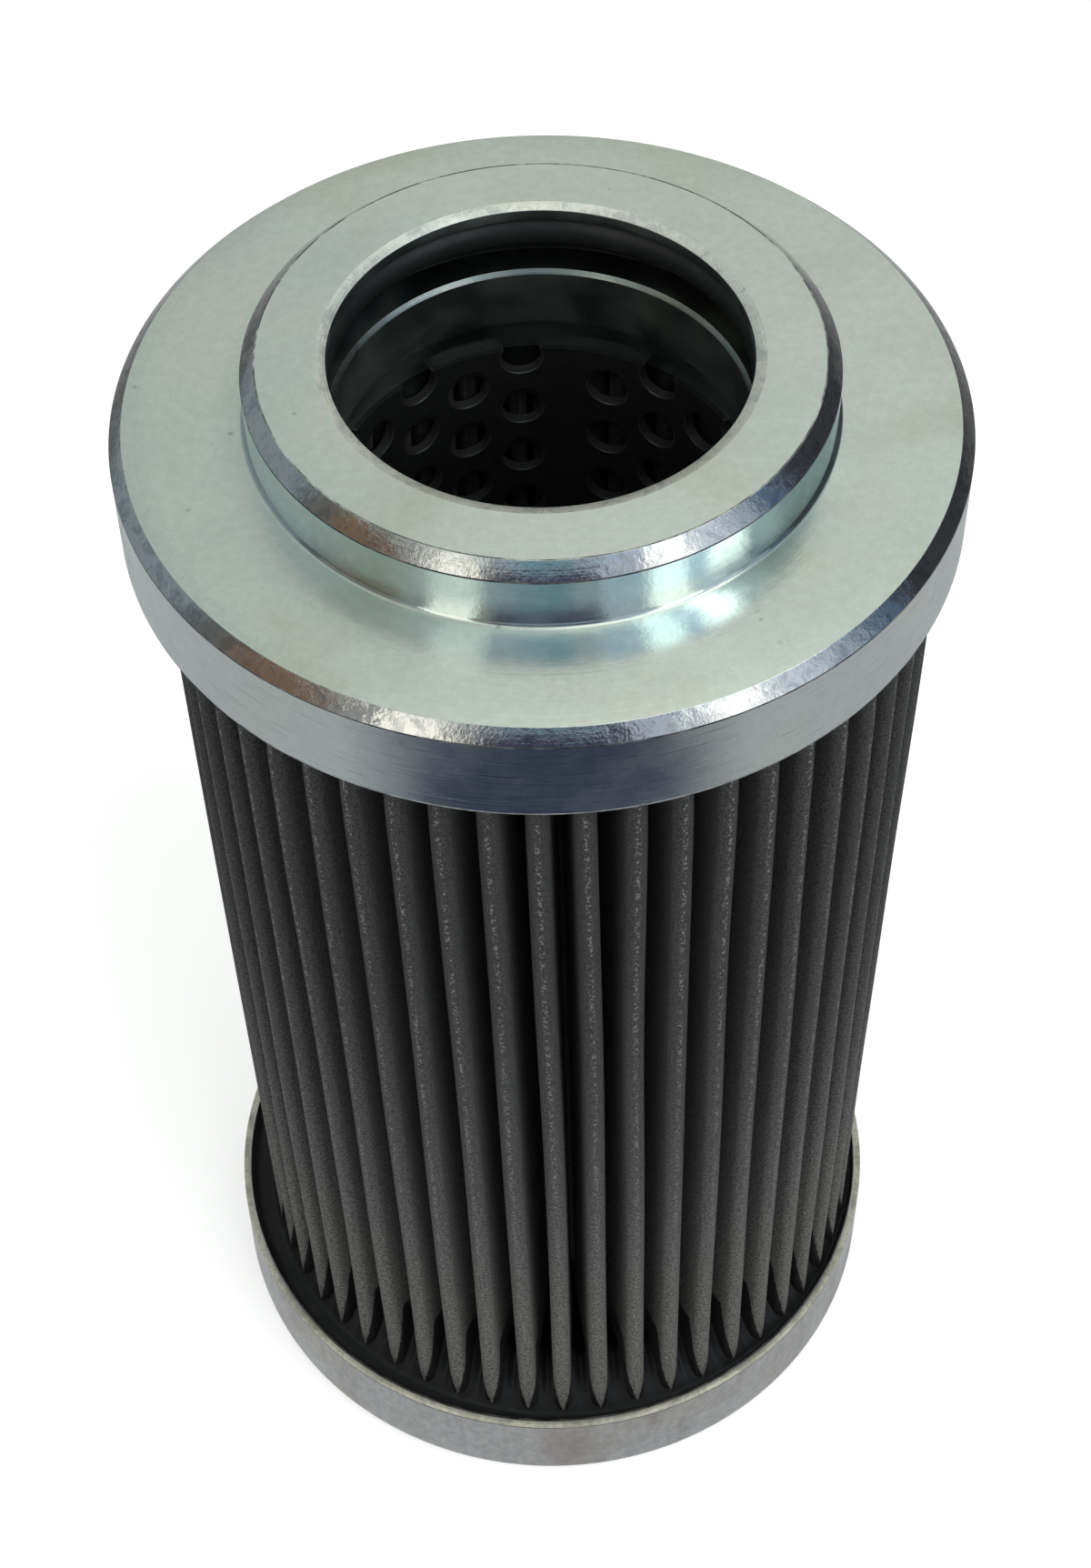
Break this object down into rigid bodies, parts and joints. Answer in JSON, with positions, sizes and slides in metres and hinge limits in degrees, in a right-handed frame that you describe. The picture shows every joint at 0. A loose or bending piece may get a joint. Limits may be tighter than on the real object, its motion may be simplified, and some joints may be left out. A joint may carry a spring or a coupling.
{
  "type": "pleated hydraulic filter element",
  "caption": "Round pleated hydraulic filter element: turned end cap with an O-ring bore, folded mesh pack, perforated inner tube and a closed pressed bottom cap.",
  "frame": {"origin": "centre of the flat closed bottom face that the element stands on", "axes": "+Z along the element's axis towards the seal bore; the tube's welded plain strip is 7 degrees clockwise of +Y seen from above"},
  "size_m": [0.078, 0.078, 0.1433],
  "materials": {
    "zinc_steel_turned": "turned and zinc plated, satin with bright chamfers",
    "zinc_steel_sheet": "pressed and zinc plated, dull with faint stains",
    "perforated_steel": "plain rolled perforated sheet, dull",
    "coated_mesh": "dark resin-coated woven wire mesh over filter fleece",
    "potting_resin": "black cast epoxy, slightly glossy",
    "black_rubber": "black nitrile rubber, slightly shiny"
  },
  "bodies": {
    "root": {"top_end_cap": "zinc_steel_turned", "bore_o_ring": "black_rubber", "support_tube": "perforated_steel", "pleat_pack": "coated_mesh", "top_potting": "potting_resin", "bottom_potting": "potting_resin", "bottom_end_cap": "zinc_steel_sheet"}
  },
  "joints": []
}
